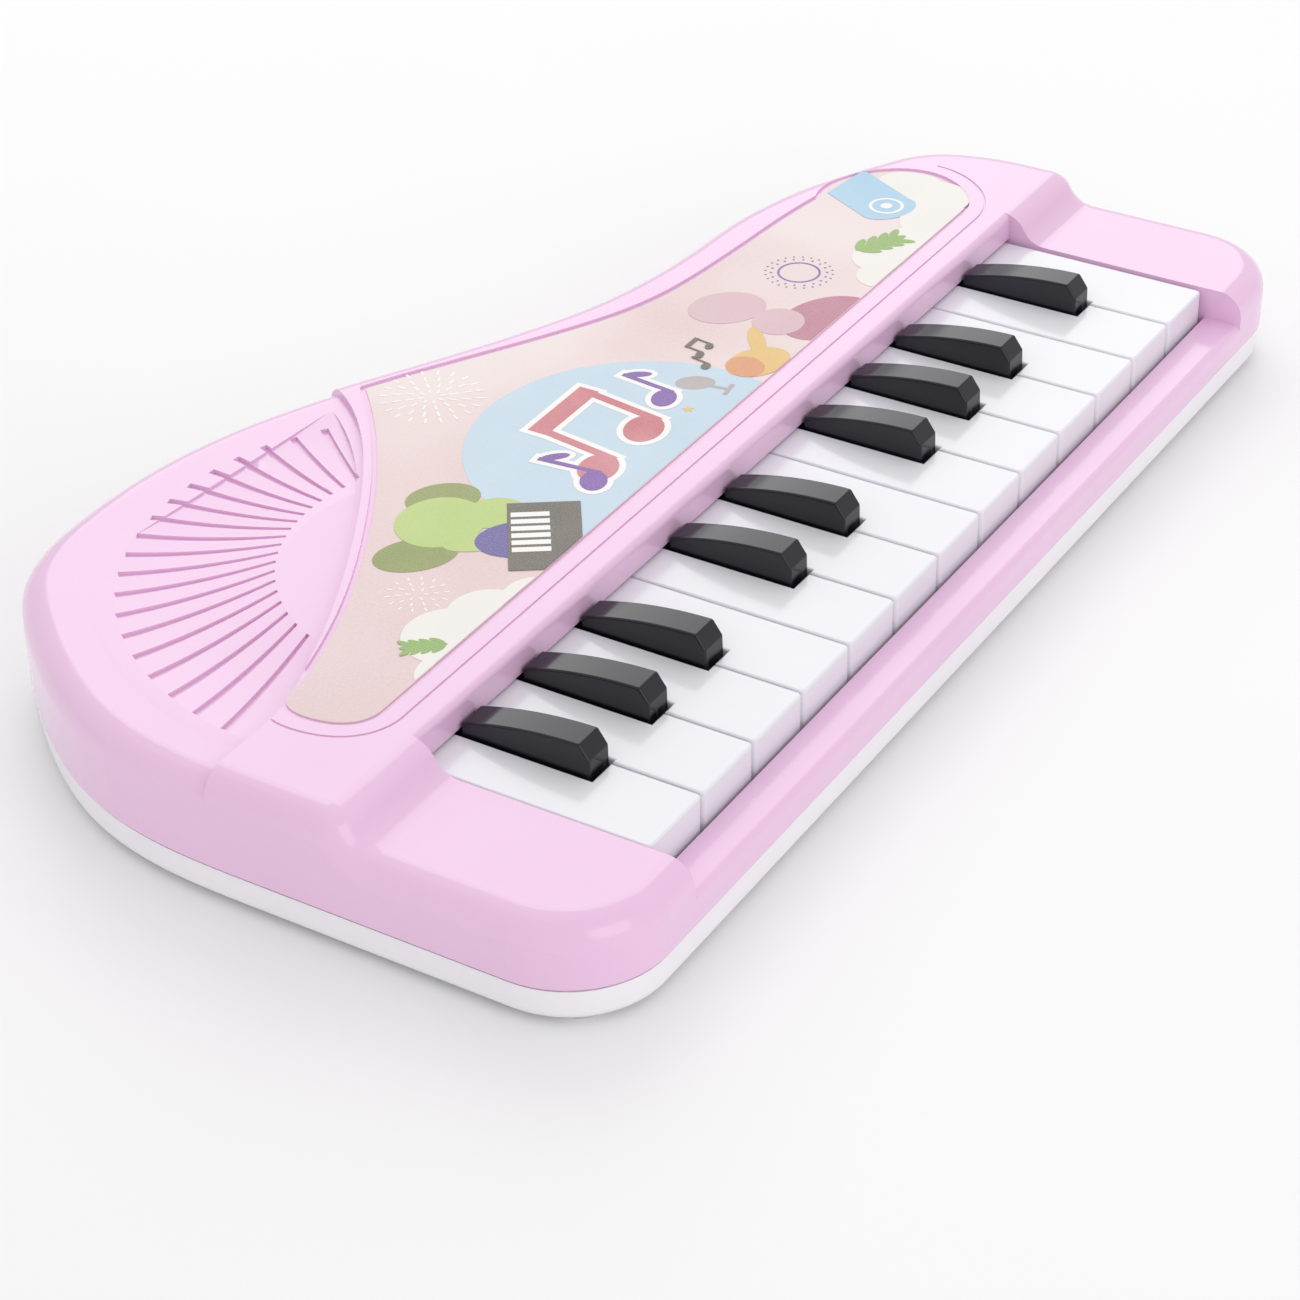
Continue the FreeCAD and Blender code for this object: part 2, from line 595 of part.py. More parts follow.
def make_bottom_shell():
    skin = raised("base_skin", widened("base_plan", outline, "-base_inset"),
                  "joint_height - joint_reveal / 2 - base_bottom")
    skin = rounded("base_rounded", skin, S.base_edge,
                   lambda edge: edge.BoundBox.ZMax < S.base_bottom + 0.01)
    tongue = raised("tongue", widened("tongue_plan", outline, "-shell_wall - 0.3"),
                    "tongue_height - base_bottom")
    inside = raised("base_inside", widened("base_inside_plan", outline, "-shell_wall - 1.5"), "30")
    place(inside, (0, 0, "base_floor"))
    tongue_trim = block("tongue_trim", ("-body_length", "-body_depth", "-5"),
                        ("body_length", "body_depth", "base_bottom + 3"))
    tub = cut("tub", fuse("base_walls", skin, cut("tongue_rim", tongue, tongue_trim)), inside)

    grown = []
    seat = "joint_height + joint_reveal / 2 - floor_top + 0.5"
    for name, at in CASE_POSTS.items():
        grown.append(cylinder(f"base_post_{name}", (at.x, at.y, "floor_top - 0.5"), "boss_radius + 1", seat))
    for number, at in enumerate(FRAME_SCREWS + BOARD_SCREWS, start=1):
        grown.append(cylinder(f"shelf_post_{number}", (at.x, at.y, "floor_top - 0.5"), 3.2,
                              f"{BOARD_SHELF} - floor_top + 0.5"))
    for number, at in enumerate(SOUND_SCREWS, start=1):
        grown.append(cylinder(f"sound_post_{number}", (at.x, at.y, "floor_top - 0.5"), 2.8,
                              f"{SOUND_SHELF} - floor_top + 0.5"))
    grown.append(block("bay_outside", (BAY_LOW.x - BAY_WALL, BAY_LOW.y - BAY_WALL, "floor_top - 0.5"),
                       (BAY_HIGH.x + BAY_WALL, BAY_HIGH.y + BAY_WALL, BAY_ROOF + BAY_WALL)))
    grown.append(cylinder("door_post", (DOOR_SCREW.x, DOOR_SCREW.y, "floor_top - 0.5"), 3.6,
                          "10.5 - floor_top"))

    taken = [block("bay_inside", (BAY_LOW.x, BAY_LOW.y, 0), (BAY_HIGH.x, BAY_HIGH.y, BAY_ROOF))]
    taken.append(block("tab_window", (BAY_MIDDLE - TAB_HALF - DOOR_GAP, BAY_LOW.y - TAB_REACH - DOOR_GAP, 0),
                       (BAY_MIDDLE + TAB_HALF + DOOR_GAP, BAY_LOW.y + 1, "floor_top")))
    taken.append(cylinder("door_screw_hole", (DOOR_SCREW.x, DOOR_SCREW.y, 1), 1.7, 8))
    taken.append(cylinder("hinge_holes", (BAY_LOW.x - 1.2, HINGE_Y, HINGE_Z), HINGE_PIN + 0.04,
                          BAY_HIGH.x - BAY_LOW.x + 2.4, Vec(1, 0, 0)))
    for name, at in CASE_POSTS.items():
        taken.append(cylinder(f"head_well_{name}", (at.x, at.y, 0), 3.2, 6.5))
        taken.append(cylinder(f"base_hole_{name}", (at.x, at.y, 5), "screw_radius + 0.4", 10))
    for number, at in enumerate(FRAME_SCREWS + BOARD_SCREWS, start=1):
        taken.append(cylinder(f"shelf_hole_{number}", (at.x, at.y, 2.6), 1.05, 5))
    for number, at in enumerate(SOUND_SCREWS, start=1):
        taken.append(cylinder(f"sound_hole_{number}", (at.x, at.y, 4), 1.05, 8))
    for number, at in enumerate(sound_holes_in_base(), start=1):
        taken.append(cylinder(f"base_sound_hole_{number}", (at.x, at.y, 0), "base_sound_hole / 2",
                              "floor_top + 1"))
    low = SWITCH - KNOB_HALF - Vec(0.6, 0.6, 0)
    high = SWITCH + KNOB_HALF + Vec(SWITCH_TRAVEL + 0.6, 0.6, 0)
    taken.append(block("switch_window", (low.x, low.y, 0), (high.x, high.y, 6)))
    return piece("bottom_shell", cut("base_shell", fuse("base_grown", tub, *grown), *taken))


make_bottom_shell()

feet = [cone(f"foot_{number}", (at.x, at.y, 0), "foot_radius - 0.6", "foot_radius", "base_bottom")
        for number, at in enumerate(FEET, start=1)]
piece("rubber_feet", together("four_feet", feet))


def screw(name, at, head_low, head_high, head_radius, shank_radius, tip):
    """A screw whose shank rises or falls from its head to tip."""
    head = cylinder(f"{name}_head", (at.x, at.y, head_low), head_radius, head_high - head_low)
    low, high = (head_high, tip) if tip > head_high else (tip, head_low)
    shank = cylinder(f"{name}_shank", (at.x, at.y, low), shank_radius, high - low)
    return fuse(name, head, shank)


piece("case_screws", together("case_screw_set", [
    screw(f"case_screw_{name}", at, 4.5, 6.5, 2.9, S.screw_radius, 18.0) for name, at in CASE_POSTS.items()]))


# ---------------------------------------------------------------------- keys
def attached(body, name, role, offset):
    """A sketch on one of the body's own origin planes, moved along its normal."""
    sketch = body.newObject("Sketcher::SketchObject", name)
    plane = [item for item in body.Origin.OriginFeatures if item.Role == role][0]
    sketch.AttachmentSupport = (plane, [""])
    sketch.MapMode = "FlatFace"
    sketch.AttachmentOffset = level(offset)
    return sketch


def feature(body, kind, name, sketch, length, reverse=False):
    item = body.newObject(f"PartDesign::{kind}", name)
    item.Profile = sketch
    item.Reversed = reverse
    bind(item, "Length", length)
    return item


def rectangle(x_low, y_low, x_high, y_high):
    return closed([Vec(x_low, y_low, 0), Vec(x_high, y_low, 0), Vec(x_high, y_high, 0), Vec(x_low, y_high, 0)])


def black_centre(seam):
    return plan(seam + BLACK_SEAMS[seam], 0).x


def neck_edge(seam, side):
    """Where a white key's neck ends beside a seam; side is +1 right of the seam, -1 left of it."""
    if seam in BLACK_SEAMS:
        return black_centre(seam) + side * (S.black_width / 2 + S.black_clearance)
    return plan(seam, 0).x + side * S.key_gap / 2


NECK_START = KEY_FRONT + S.black_front - S.black_clearance
KEY_BACK = PIVOT_Y - 4
TAIL_INSET = 1.5
BOSS_RADIUS = 3.2
WHITE_PLUNGER = 26.0
BLACK_PLUNGER = 40.0


def add_tail(body, name, x_low, x_high):
    """The lever behind a key, bored for the pivot rod."""
    sketch = attached(body, f"{name}_tail_side", "YZ_Plane", x_low)
    axis = Vec(PIVOT_Y, S.pivot_height, 0)
    up = Vec(0, 0, 1)
    lever = [Vec(PIVOT_Y, axis.y + BOSS_RADIUS, 0), Vec(KEY_BACK - 3, S.key_top - 2.5, 0),
             Vec(KEY_BACK - 3, S.key_bottom + 0.5, 0), Vec(PIVOT_Y, axis.y - BOSS_RADIUS, 0)]
    for start, end in zip(lever, lever[1:]):
        sketch.addGeometry(Part.LineSegment(start, end), False)
    sketch.addGeometry(Part.ArcOfCircle(Part.Circle(axis, up, BOSS_RADIUS), -math.pi / 2, math.pi / 2), False)
    sketch.addGeometry(Part.Circle(axis, up, S.pivot_radius + S.pivot_fit), False)
    return feature(body, "Pad", f"{name}_tail", sketch, x_high - x_low)


def add_plunger(body, name, x, reach_back):
    sketch = attached(body, f"{name}_plunger_plan", "XY_Plane", S.key_bottom)
    sketch.addGeometry(Part.Circle(Vec(x, KEY_FRONT + reach_back, 0), Vec(0, 0, 1), 1.5), False)
    return feature(body, "Pad", f"{name}_plunger", sketch, "key_top - key_bottom - 1")


def soften(body, name, base, radius, chosen):
    doc.recompute()
    names = [f"Edge{i}" for i, edge in enumerate(base.Shape.Edges, start=1) if chosen(edge)]
    item = body.newObject("PartDesign::Fillet", name)
    item.Base = (base, names)
    item.Radius = radius
    return item


def white_outline(number, margin):
    """Plan of a white key: wide front, neck between the black keys."""
    left = plan(number - 1, 0).x + S.key_gap / 2 + margin
    right = plan(number, 0).x - S.key_gap / 2 - margin
    neck_left = neck_edge(number - 1, 1) + margin
    neck_right = neck_edge(number, -1) - margin
    front = KEY_FRONT + margin
    shoulder = NECK_START - margin
    back = KEY_BACK - margin
    points = [Vec(left, front, 0), Vec(right, front, 0)]
    if neck_right < right - 0.01:
        points += [Vec(right, shoulder, 0), Vec(neck_right, shoulder, 0)]
    points += [Vec(neck_right, back, 0), Vec(neck_left, back, 0)]
    if neck_left > left + 0.01:
        points += [Vec(neck_left, shoulder, 0), Vec(left, shoulder, 0)]
    return points


def make_white_key(number):
    name = f"white_key_{number:02d}"
    body = doc.addObject("PartDesign::Body", f"{name}_body")
    sketch = attached(body, f"{name}_plan", "XY_Plane", S.key_bottom)
    for curve in closed(white_outline(number, 0)):
        sketch.addGeometry(curve, False)
    pad = feature(body, "Pad", f"{name}_block", sketch, "key_top - key_bottom")

    def front_corner(edge):
        box = edge.BoundBox
        return box.ZLength > 5 and box.YMax < KEY_FRONT + 0.01

    corners = soften(body, f"{name}_corners", pad, 1.2, front_corner)
    crown = soften(body, f"{name}_crown", corners, 0.5, lambda edge: edge.BoundBox.ZMin > S.key_top - 0.01)
    hollow = attached(body, f"{name}_hollow_plan", "XY_Plane", S.key_bottom)
    for curve in closed(white_outline(number, S.key_wall)):
        hollow.addGeometry(curve, False)
    feature(body, "Pocket", f"{name}_hollow", hollow, "key_top - key_bottom - key_wall", True)
    neck = (neck_edge(number - 1, 1), neck_edge(number, -1))
    add_plunger(body, name, sum(neck) / 2, WHITE_PLUNGER)
    body.Tip = add_tail(body, name, neck[0] + TAIL_INSET, neck[1] - TAIL_INSET)
    return piece(name, body)


def make_black_key(order, seam):
    name = f"black_key_{order:02d}"
    centre = black_centre(seam)
    half = S.black_width / 2
    body = doc.addObject("PartDesign::Body", f"{name}_body")
    side = attached(body, f"{name}_side", "YZ_Plane", centre - half)

    def at(y, z):
        return Vec(KEY_FRONT + y, z, 0)

    # front face, slanting bevel, long falling arc, short drop to the hidden tail
    outline_points = [at(52.0, S.key_top), at(KEY_BACK - KEY_FRONT, S.key_top),
                      at(KEY_BACK - KEY_FRONT, S.key_bottom), at(S.black_front, S.key_bottom),
                      at(21.8, 27.9), at(24.1, 31.1)]
    for start, end in zip(outline_points, outline_points[1:]):
        side.addGeometry(Part.LineSegment(start, end), False)
    side.addGeometry(Part.Arc(at(24.1, 31.1), at(38.5, 29.8), at(52.0, 26.6)), False)
    side.addGeometry(Part.LineSegment(at(52.0, 26.6), at(52.0, S.key_top)), False)
    pad = feature(body, "Pad", f"{name}_block", side, "black_width")

    def cross_edge(edge):
        box = edge.BoundBox
        return box.XLength > 1 and box.ZMin > S.key_top + 0.1

    def flank_edge(edge):
        box = edge.BoundBox
        upright_rear = box.YLength < 0.01 and box.YMin > KEY_FRONT + 40
        return box.XLength < 0.01 and box.ZMax > S.key_top + 0.1 and not upright_rear

    crown = soften(body, f"{name}_crown", pad, 0.8, cross_edge)
    soften(body, f"{name}_flanks", crown, 0.5, flank_edge)
    hollow = attached(body, f"{name}_hollow_plan", "XY_Plane", S.key_bottom)
    for curve in rectangle(centre - half + S.key_wall, KEY_FRONT + S.black_front + S.key_wall,
                           centre + half - S.key_wall, KEY_BACK - S.key_wall):
        hollow.addGeometry(curve, False)
    feature(body, "Pocket", f"{name}_hollow", hollow, "key_top - key_bottom - key_wall", True)
    add_plunger(body, name, centre, BLACK_PLUNGER)
    body.Tip = add_tail(body, name, centre - half + 0.6, centre + half - 0.6)
    return piece(name, body)


for number in range(1, WHITE_KEYS + 1):
    make_white_key(number)
for order, seam in enumerate(BLACK_SEAMS, start=1):
    make_black_key(order, seam)


# ----------------------------------------------------- key frame and contacts
ROD_END = S.well_side + 2.6
FRAME_POSTS = [-ROD_END + 1.2, plan(4, 0).x, plan(7, 0).x, plan(11, 0).x, ROD_END - 1.2]


def make_key_frame():
    bar = block("frame_bar", (-ROD_END - 3, "pivot_y - 3", BOARD_SHELF), (ROD_END + 3, "pivot_y + 3", BOARD_SHELF + 2))
    posts = [block(f"frame_post_{number}", (x - 1.2, "pivot_y - 3", BOARD_SHELF + 1),
                   (x + 1.2, "pivot_y + 3", "pivot_height + 3"))
             for number, x in enumerate(FRAME_POSTS, start=1)]
    bore = cylinder("rod_bore", (-ROD_END - 5, "pivot_y", "pivot_height"), "pivot_radius + 0.02",
                    2 * ROD_END + 10, Vec(1, 0, 0))
    holes = [cylinder(f"frame_hole_{number}", (at.x, at.y, BOARD_SHELF - 1), 1.1, 5)
             for number, at in enumerate(FRAME_SCREWS, start=1)]
    piece("key_frame", cut("frame_bored", fuse("frame_whole", bar, *posts), bore, *holes))


make_key_frame()
piece("pivot_rod", cylinder("rod", (-ROD_END, "pivot_y", "pivot_height"), "pivot_radius", 2 * ROD_END, Vec(1, 0, 0)))

BOARD_TOP = BOARD_SHELF + BOARD_THICK
board = block("contact_board_plate", (BOARD_LOW.x, BOARD_LOW.y, BOARD_SHELF), (BOARD_HIGH.x, BOARD_HIGH.y, BOARD_TOP))
board_holes = [cylinder(f"board_hole_{number}", (at.x, at.y, 4), 1.2, 6)
               for number, at in enumerate(BOARD_SCREWS, start=1)]
piece("contact_board", cut("contact_board_drilled", board, *board_holes))

strip_low = spot(6, 20)
strip_high = spot(254, 44)
strip = [block("strip_web", (strip_low.x, strip_low.y, BOARD_TOP), (strip_high.x, strip_high.y, BOARD_TOP + 1))]
domes = [Vec((neck_edge(n - 1, 1) + neck_edge(n, -1)) / 2, KEY_FRONT + WHITE_PLUNGER, 0)
         for n in range(1, WHITE_KEYS + 1)]
domes += [Vec(black_centre(seam), KEY_FRONT + BLACK_PLUNGER, 0) for seam in BLACK_SEAMS]
for number, at in enumerate(domes, start=1):
    strip.append(cone(f"dome_{number}", (at.x, at.y, BOARD_TOP + 0.5), 3.2, 2.4, 2.5))
piece("rubber_contacts", fuse("strip_whole", *strip))

shelf_screws = [screw(f"shelf_screw_{number}", at, top, top + 1.2, 2.0, 1.0, 3.4)
                for number, (at, top) in enumerate(
                    [(at, BOARD_SHELF + 2) for at in FRAME_SCREWS] + [(at, BOARD_TOP) for at in BOARD_SCREWS],
                    start=1)]
piece("shelf_screws", together("shelf_screw_set", shelf_screws))


# --------------------------------------------------------- sound and switch
def make_speaker():
    rim_low = SPEAKER_SEAT - 1.4
    x, y = SPEAKER.x, SPEAKER.y
    ring = cut("speaker_ring", cylinder("ring_outer", (x, y, rim_low), "speaker_radius", 1.4),
               cylinder("ring_inner", (x, y, rim_low - 1), 22.8, 4))
    basket = cut("basket_dish", cone("dish_outer", (x, y, rim_low - 8.6), 15, 24, 8.6),
                 cone("dish_inner", (x, y, rim_low - 7.4), 13.5, 22.8, 7.5))
    piece("speaker_basket", fuse("basket_whole", ring, basket))
    piece("speaker_magnet", cylinder("magnet", (x, y, rim_low - 14.2), 14.5, 5.6))
    paper = cut("paper_funnel", cone("paper_outer", (x, y, rim_low - 6), 6.5, 21.8, 6.8),
                cone("paper_inner", (x, y, rim_low - 5.4), 6.0, 21.4, 6.9))
    surround = cut("paper_edge", cylinder("edge_outer", (x, y, rim_low + 0.3), 22.7, 0.5),
                   cylinder("edge_inner", (x, y, rim_low - 1), 20.9, 4))
    cap = cone("dust_cap", (x, y, rim_low - 5.5), 7.6, 4, 2.2)
    piece("speaker_cone", fuse("paper_whole", paper, surround, cap))
    piece("speaker_screws", together("speaker_screw_set", [
        screw(f"speaker_screw_{number}", at, rim_low - 1.2, rim_low, 4.6, 1.0, S.field_back + 0.5)
        for number, at in enumerate(SPEAKER_SCREWS, start=1)]))


make_speaker()

SOUND_TOP = SOUND_SHELF + BOARD_THICK
sound_plate = block("sound_plate", (SOUND_LOW.x, SOUND_LOW.y, SOUND_SHELF), (SOUND_HIGH.x, SOUND_HIGH.y, SOUND_TOP))
sound_holes = [cylinder(f"sound_plate_hole_{number}", (at.x, at.y, 8), 1.2, 6)
               for number, at in enumerate(SOUND_SCREWS, start=1)]
piece("sound_board", cut("sound_plate_drilled", sound_plate, *sound_holes))
piece("sound_screws", together("sound_screw_set", [
    screw(f"sound_screw_{number}", at, SOUND_TOP, SOUND_TOP + 1.2, 2.0, 1.0, 4.4)
    for number, at in enumerate(SOUND_SCREWS, start=1)]))
chip = spot(200, 86)
piece("sound_chip", cone("chip_blob", (chip.x, chip.y, SOUND_TOP), 6, 4.6, 1.4))

PLUGS = {"speaker": (spot(173, 74), spot(179, 78)), "battery": (spot(181, 88), spot(187, 94)),
         "key": (spot(196, 72.6), spot(204, 76.6))}
plugs = [block(f"{name}_socket", (low.x, low.y, SOUND_TOP), (high.x, high.y, SOUND_TOP + 4))
         for name, (low, high) in PLUGS.items()]
key_plug_low = spot(195, 45)
key_plug_high = spot(205, 49.2)
plugs.append(block("key_board_socket", (key_plug_low.x, key_plug_low.y, BOARD_TOP),
                   (key_plug_high.x, key_plug_high.y, BOARD_TOP + 2.4)))
piece("lead_sockets", together("socket_set", plugs))
cans = [cylinder(f"capacitor_{number}", (at.x, at.y, SOUND_TOP), 2.5, 7)
        for number, at in enumerate((spot(213, 79), spot(213, 90)), start=1)]
piece("capacitors", together("capacitor_set", cans))


def make_switch():
    half = Vec(7.0, 3.5, 0)
    middle = SWITCH + Vec(SWITCH_TRAVEL / 2, 0, 0)
    case = block("switch_box", (middle.x - half.x, middle.y - half.y, "floor_top"),
                 (middle.x + half.x, middle.y + half.y, 9.4))
    low = SWITCH - KNOB_HALF - Vec(0.3, 0.3, 0)
    high = SWITCH + KNOB_HALF + Vec(SWITCH_TRAVEL + 0.3, 0.3, 0)
    window = block("switch_slot", (low.x, low.y, 0), (high.x, high.y, 6.2))
    piece("switch_case", cut("switch_box_slotted", case, window))
    low = SWITCH - KNOB_HALF
    high = SWITCH + KNOB_HALF
    piece("switch_knob", block("switch_stem", (low.x, low.y, 0.8), (high.x, high.y, 5.8)))


make_switch()


# ------------------------------------------------------------------- battery
def make_battery_bay():
    plate = block("door_plate", (BAY_LOW.x + DOOR_GAP, BAY_LOW.y + DOOR_GAP, DOOR_LOW),
                  (BAY_HIGH.x - DOOR_GAP, BAY_HIGH.y - DOOR_GAP, DOOR_HIGH))
    tab = block("door_tab", (BAY_MIDDLE - TAB_HALF, BAY_LOW.y - TAB_REACH, DOOR_LOW),
                (BAY_MIDDLE + TAB_HALF, BAY_LOW.y + 2, DOOR_HIGH))
    pins = cylinder("door_pins", (BAY_LOW.x - 1.0, HINGE_Y, HINGE_Z), HINGE_PIN,
                    BAY_HIGH.x - BAY_LOW.x + 2.0, Vec(1, 0, 0))
    bore = cylinder("door_hole", (DOOR_SCREW.x, DOOR_SCREW.y, 1), 1.15, 4)
    sink = cylinder("door_sink", (DOOR_SCREW.x, DOOR_SCREW.y, 1), 2.5, DOOR_LOW - 1 + 0.8)
    piece("battery_door", cut("door_drilled", fuse("door_whole", plate, tab, pins), bore, sink))
    piece("door_screw", screw("door_screw_whole", DOOR_SCREW, DOOR_LOW, DOOR_LOW + 0.8, 2.4, 1.1, 6.4))

    contact = 0.5
    cap = 1.0
    middle_z = BAY_ROOF - 0.6 - S.cell_radius
    middle_y = (BAY_LOW.y + BAY_HIGH.y) / 2
    plates = []
    springs = []
    for number, side in enumerate((1, -1, 1), start=1):
        y = middle_y + (number - 2) * S.cell_pitch
        wall = BAY_HIGH.x - contact if side > 0 else BAY_LOW.x + contact
        shoulder = wall - side * cap
        start = shoulder - S.cell_length if side > 0 else shoulder
        can = cylinder(f"cell_can_{number}", (start, y, middle_z), "cell_radius", "cell_length", Vec(1, 0, 0))
        button = cylinder(f"cell_cap_{number}", (min(wall, shoulder), y, middle_z), 2.6, cap, Vec(1, 0, 0))
        piece(f"battery_cell_{number}", fuse(f"cell_{number}", can, button))
        for end, x in enumerate((BAY_LOW.x, BAY_HIGH.x - contact), start=1):
            plates.append(block(f"contact_{number}_{end}", (x, y - 6.2, middle_z - 6), (x + contact, y + 6.2, middle_z + 6)))
        foot = BAY_LOW.x + contact if side > 0 else BAY_HIGH.x - contact
        springs.append(coil(foot, start if side > 0 else start + S.cell_length, y, middle_z))
    piece("battery_contacts", together("contact_set", plates))
    item = doc.addObject("Part::Feature", "spring_set")
    item.Shape = Part.makeCompound(springs)
    piece("battery_springs", item)


def coil(x_from, x_to, y, z):
    """A round wire spring along X between two faces, each half turn a tilted semicircle."""
    wire = 0.35
    radius = 3.4
    half_turns = 7
    low = min(x_from, x_to) + wire + 0.05
    climb = (max(x_from, x_to) - wire - 0.05 - low) / half_turns
    arcs = []
    for number in range(half_turns):
        side = -1 if number % 2 else 1
        start = Vec(low + number * climb, y, z - side * radius)
        end = Vec(low + (number + 1) * climb, y, z + side * radius)
        crown = (start + end) * 0.5 + Vec(0, side * (end - start).Length / 2, 0)
        arcs.append(Part.Arc(start, crown, end).toShape())
    ring = Part.Wire(Part.makeCircle(wire, Vec(low, y, z - radius), Vec(0, 1, 0)))
    return Part.Wire(arcs).makePipeShell([ring], True, True)


make_battery_bay()


# --------------------------------------------------------------------- leads
def lead(name, diameter, points):
    """An insulated lead: straight runs joined by tangent arcs."""
    edges = []
    last = points[0]
    length = 0
    for before, corner, after in zip(points, points[1:], points[2:]):
        inward = (corner - before).normalize()
        onward = (after - corner).normalize()
        trim = 0.45 * min((corner - before).Length, (after - corner).Length)
        turn = inward.getAngle(onward)
        radius = trim / math.tan(turn / 2)
        middle = corner + (onward - inward).normalize() * (radius / math.cos(turn / 2) - radius)
        start = corner - inward * trim
        end = corner + onward * trim
        edges += [Part.LineSegment(last, start).toShape(), Part.Arc(start, middle, end).toShape()]
        length += (start - last).Length + radius * turn
        last = end
        print(f"{name}: arc radius {radius:.1f}")
    edges.append(Part.LineSegment(last, points[-1]).toShape())
    length += (points[-1] - last).Length
    path = Part.Wire(edges)
    ring = Part.Wire(Part.makeCircle(diameter / 2, points[0], points[1] - points[0]))
    item = doc.addObject("Part::Feature", f"{name}_tube")
    item.Shape = path.makePipeShell([ring], True, True)
    expected = math.pi * diameter ** 2 / 4 * length
    print(f"{name}: length {length:.1f}, volume {item.Shape.Volume:.1f} of {expected:.1f}")
    return piece(name, item)


def route(*points):
    return [spot(x, y) + Vec(0, 0, z) for x, y, z in points]


lead("speaker_lead", 1.6, route((27, 106.4, 11), (27.5, 92, 11), (37, 79, 11), (54, 70.5, 11.2), (88, 67.6, 11.3),
                                (126, 69.5, 11.2), (152, 68.5, 11.8), (172.4, 75.8, 13)))
lead("battery_lead", 1.6, route((124.4, 99, 10), (138, 98, 13), (156, 93, 15), (170, 91.4, 14), (180.7, 91, 13.4)))
lead("key_lead", 1.4, route((200, 49.6, 8.5), (199, 56, 9.7), (201, 64, 10.5), (200, 72.2, 12.9)))


# -------------------------------------------------------------------- export
doc.recompute()
failed = [item.Name for item in doc.Objects if "Invalid" in item.State or "Error" in item.State]
if failed:
    raise RuntimeError(f"features in error: {failed}")
for item in PIECES:
    if item.Shape.isNull() or not item.Shape.isValid():
        raise RuntimeError(f"{item.Label} has no valid shape")
os.makedirs("parts", exist_ok=True)
for item in PIECES:
    item.Shape.exportStep(os.path.join("parts", f"{item.Label}.step"))
    print(item.Label, len(item.Shape.Solids), round(item.Shape.Volume))
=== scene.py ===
import bpy
import math
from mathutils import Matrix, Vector


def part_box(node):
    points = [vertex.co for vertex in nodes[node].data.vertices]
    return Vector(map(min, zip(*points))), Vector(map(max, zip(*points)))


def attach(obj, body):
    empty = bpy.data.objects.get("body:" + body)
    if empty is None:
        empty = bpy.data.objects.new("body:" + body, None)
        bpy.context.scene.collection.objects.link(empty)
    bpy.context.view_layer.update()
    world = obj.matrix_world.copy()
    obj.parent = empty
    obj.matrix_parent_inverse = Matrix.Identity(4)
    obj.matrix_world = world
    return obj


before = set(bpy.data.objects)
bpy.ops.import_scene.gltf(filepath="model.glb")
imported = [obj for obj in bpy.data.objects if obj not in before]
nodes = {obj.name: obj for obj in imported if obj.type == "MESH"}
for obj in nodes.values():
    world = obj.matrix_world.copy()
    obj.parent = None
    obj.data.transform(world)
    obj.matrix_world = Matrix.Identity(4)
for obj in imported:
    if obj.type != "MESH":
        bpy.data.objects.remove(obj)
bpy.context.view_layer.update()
scene = bpy.context.scene

MM = 0.001
WHITE_KEYS = [f"white_key_{n:02d}" for n in range(1, 14)]
BLACK_KEYS = [f"black_key_{n:02d}" for n in range(1, 10)]


# ------------------------------------------------------------------ finishes
def srgb(red, green, blue):
    """A colour given as 0-255 screen values, as linear values."""
    out = []
    for value in (red, green, blue):
        value = value / 255
        out.append(value / 12.92 if value <= 0.04045 else ((value + 0.055) / 1.055) ** 2.4)
    return (*out, 1.0)


